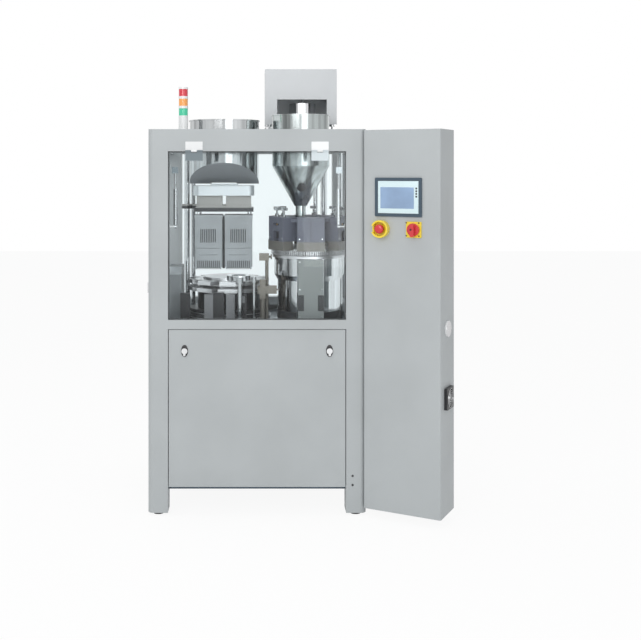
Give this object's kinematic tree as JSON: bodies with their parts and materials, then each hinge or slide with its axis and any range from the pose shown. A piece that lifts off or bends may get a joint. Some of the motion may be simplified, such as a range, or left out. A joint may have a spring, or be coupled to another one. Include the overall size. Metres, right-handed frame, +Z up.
{
  "type": "capsule filling machine",
  "caption": "Floor-standing automatic capsule filling machine with a glazed chamber, capsule hopper, powder hopper, turret and hinged control cabinet.",
  "frame": {"origin": "middle of the whole machine on the floor", "axes": "+X to the operator's right, -Y towards the operator, +Z up"},
  "size_m": [1.356, 1.0374, 2.012],
  "materials": {
    "painted": "satin grey powder coat",
    "steel": "brushed stainless",
    "polished": "polished stainless",
    "dark_steel": "dark satin",
    "aluminium": "anodised grey",
    "clear": "clear",
    "white_plastic": "gloss",
    "lens": "gloss",
    "red_plastic": "gloss",
    "yellow_plastic": "gloss",
    "dark_plastic": "matt",
    "screen": "clear"
  },
  "bodies": {
    "machine": {"adjusting_knobs": "polished", "base_panels": "painted", "bottom_pan": "dark_steel", "cabinet_hinge_pins": "steel", "capsule_bowl": "polished", "clamp_arms": "steel", "corner_posts": "painted", "cross_beams": "painted", "dosing_pedestal": "polished", "drive_units": "dark_steel", "feed_head": "polished", "feeder_cover": "painted", "fixed_glazing": "clear", "fixed_hinge_leaves": "polished", "guide_columns": "polished", "hopper_sight_glass": "dark_plastic", "levelling_feet": "dark_plastic", "pedestal_cover": "painted", "pedestal_trim": "dark_steel", "powder_hopper": "polished", "sensor_plates": "aluminium", "separator_and_clamps": "polished", "station_bands": "steel", "station_blocks": "dark_plastic", "stirrer_motor": "polished", "stop_posts": "polished", "tamping_station_ring": "aluminium", "tower_body": "white_plastic", "tower_lenses": "lens", "turret_housing": "dark_steel", "vacuum_housing": "aluminium", "work_table": "steel"},
    "window": {"front_window": "clear", "window_clamps": "polished"},
    "strut_cylinder": {"strut_cylinders": "polished"},
    "strut_rod": {"strut_rods": "steel"},
    "lower_door": {"lower_door": "painted"},
    "latch_left": {"door_latch_left": "polished"},
    "latch_right": {"door_latch_right": "polished"},
    "left_window": {"left_window": "clear", "left_window_fittings": "steel"},
    "cabinet": {"cabinet_shell": "painted", "cabinet_fittings": "polished", "electrical_rack": "white_plastic", "screen_housing": "dark_plastic", "screen_glass": "screen", "stop_guard_and_switch_plate": "yellow_plastic", "fan_frame": "dark_plastic"},
    "cabinet_door": {"cabinet_rear_door": "painted"},
    "stop_button": {"stop_button": "red_plastic"},
    "main_switch": {"main_switch_knob": "red_plastic"},
    "fan": {"fan_rotor": "dark_plastic"},
    "magazine": {"sorting_magazine": "steel"},
    "turret": {"turret_hub": "steel", "upper_dies": "steel", "lower_dies": "steel"},
    "tamping": {"tamping_rods": "steel"},
    "dosing_disc": {"dosing_disc": "steel"},
    "stirrer": {"stirrer_auger": "steel"},
    "camshaft": {"main_camshaft": "steel"}
  },
  "joints": [
    {"name": "window_lift", "type": "hinge", "parent": "machine", "child": "window", "pos_m": [-0.18387, -0.34655, 1.603], "axis": [-1, 0, 0], "range_deg": [0, 85]},
    {"name": "strut_tilt", "type": "hinge", "parent": "machine", "child": "strut_cylinder", "pos_m": [-0.18387, -0.29725, 1.269], "axis": [1, 0, 0], "range_deg": [0, 26]},
    {"name": "strut_stroke", "type": "slide", "parent": "strut_cylinder", "child": "strut_rod", "axis": [0, 0, 1], "range_m": [0, 0.06]},
    {"name": "lower_door_tilt", "type": "hinge", "parent": "machine", "child": "lower_door", "pos_m": [-0.18387, -0.33725, 0.125], "axis": [1, 0, 0], "range_deg": [0, 25]},
    {"name": "latch_left_turn", "type": "hinge", "parent": "lower_door", "child": "latch_left", "pos_m": [-0.50287, -0.33725, 0.724], "axis": [0, 1, 0], "range_deg": [0, 90]},
    {"name": "latch_right_turn", "type": "hinge", "parent": "lower_door", "child": "latch_right", "pos_m": [0.13513, -0.33725, 0.724], "axis": [0, -1, 0], "range_deg": [0, 90]},
    {"name": "left_window_swing", "type": "hinge", "parent": "machine", "child": "left_window", "pos_m": [-0.66787, 0.42925, 1.2], "axis": [0, 0, -1], "range_deg": [0, 95]},
    {"name": "cabinet_swing", "type": "hinge", "parent": "machine", "child": "cabinet", "pos_m": [0.30413, -0.30125, 0.9], "axis": [0, 0, 1], "range_deg": [-5, 28]},
    {"name": "cabinet_door_swing", "type": "hinge", "parent": "cabinet", "child": "cabinet_door", "pos_m": [0.67026, -0.36429, 0.9], "axis": [0, 0, -1], "range_deg": [0, 90]},
    {"name": "stop_button_press", "type": "slide", "parent": "cabinet", "child": "stop_button", "axis": [0.4695, 0.8829, 0], "range_m": [0, 0.006], "stiffness_N_per_m": 400},
    {"name": "main_switch_turn", "type": "hinge", "parent": "cabinet", "child": "main_switch", "pos_m": [0.48698, -0.46617, 1.265], "axis": [0.4695, 0.8829, 0], "range_deg": [0, 90]},
    {"name": "fan_spin", "type": "hinge", "parent": "cabinet", "child": "fan", "pos_m": [0.63459, -0.43989, 0.542], "axis": [0.8829, -0.4695, 0], "continuous": true},
    {"name": "magazine_stroke", "type": "slide", "parent": "machine", "child": "magazine", "axis": [0, 0, 1], "range_m": [0, 0.008]},
    {"name": "turret_index", "type": "hinge", "parent": "machine", "child": "turret", "pos_m": [-0.31987, 0.08875, 1.01], "axis": [0, 0, 1], "continuous": true},
    {"name": "tamping_stroke", "type": "slide", "parent": "machine", "child": "tamping", "axis": [0, 0, 1], "range_m": [0, 0.009]},
    {"name": "dosing_disc_index", "type": "hinge", "parent": "machine", "child": "dosing_disc", "pos_m": [0.06113, -0.01125, 1.125], "axis": [0, 0, 1], "continuous": true},
    {"name": "stirrer_spin", "type": "hinge", "parent": "machine", "child": "stirrer", "pos_m": [0.02213, -0.01125, 1.352], "axis": [0, 0, 1], "continuous": true},
    {"name": "camshaft_turn", "type": "hinge", "parent": "machine", "child": "camshaft", "pos_m": [-0.18387, 0.07875, 0.5], "axis": [1, 0, 0], "continuous": true}
  ],
  "couplings": [
    {"joint": "strut_tilt", "follows": "window_lift", "ratio": 0.293},
    {"joint": "strut_stroke", "follows": "window_lift", "m_per_rad": 0.0377},
    {"joint": "turret_index", "follows": "camshaft_turn", "ratio": 0.1},
    {"joint": "dosing_disc_index", "follows": "camshaft_turn", "ratio": -0.16667}
  ]
}
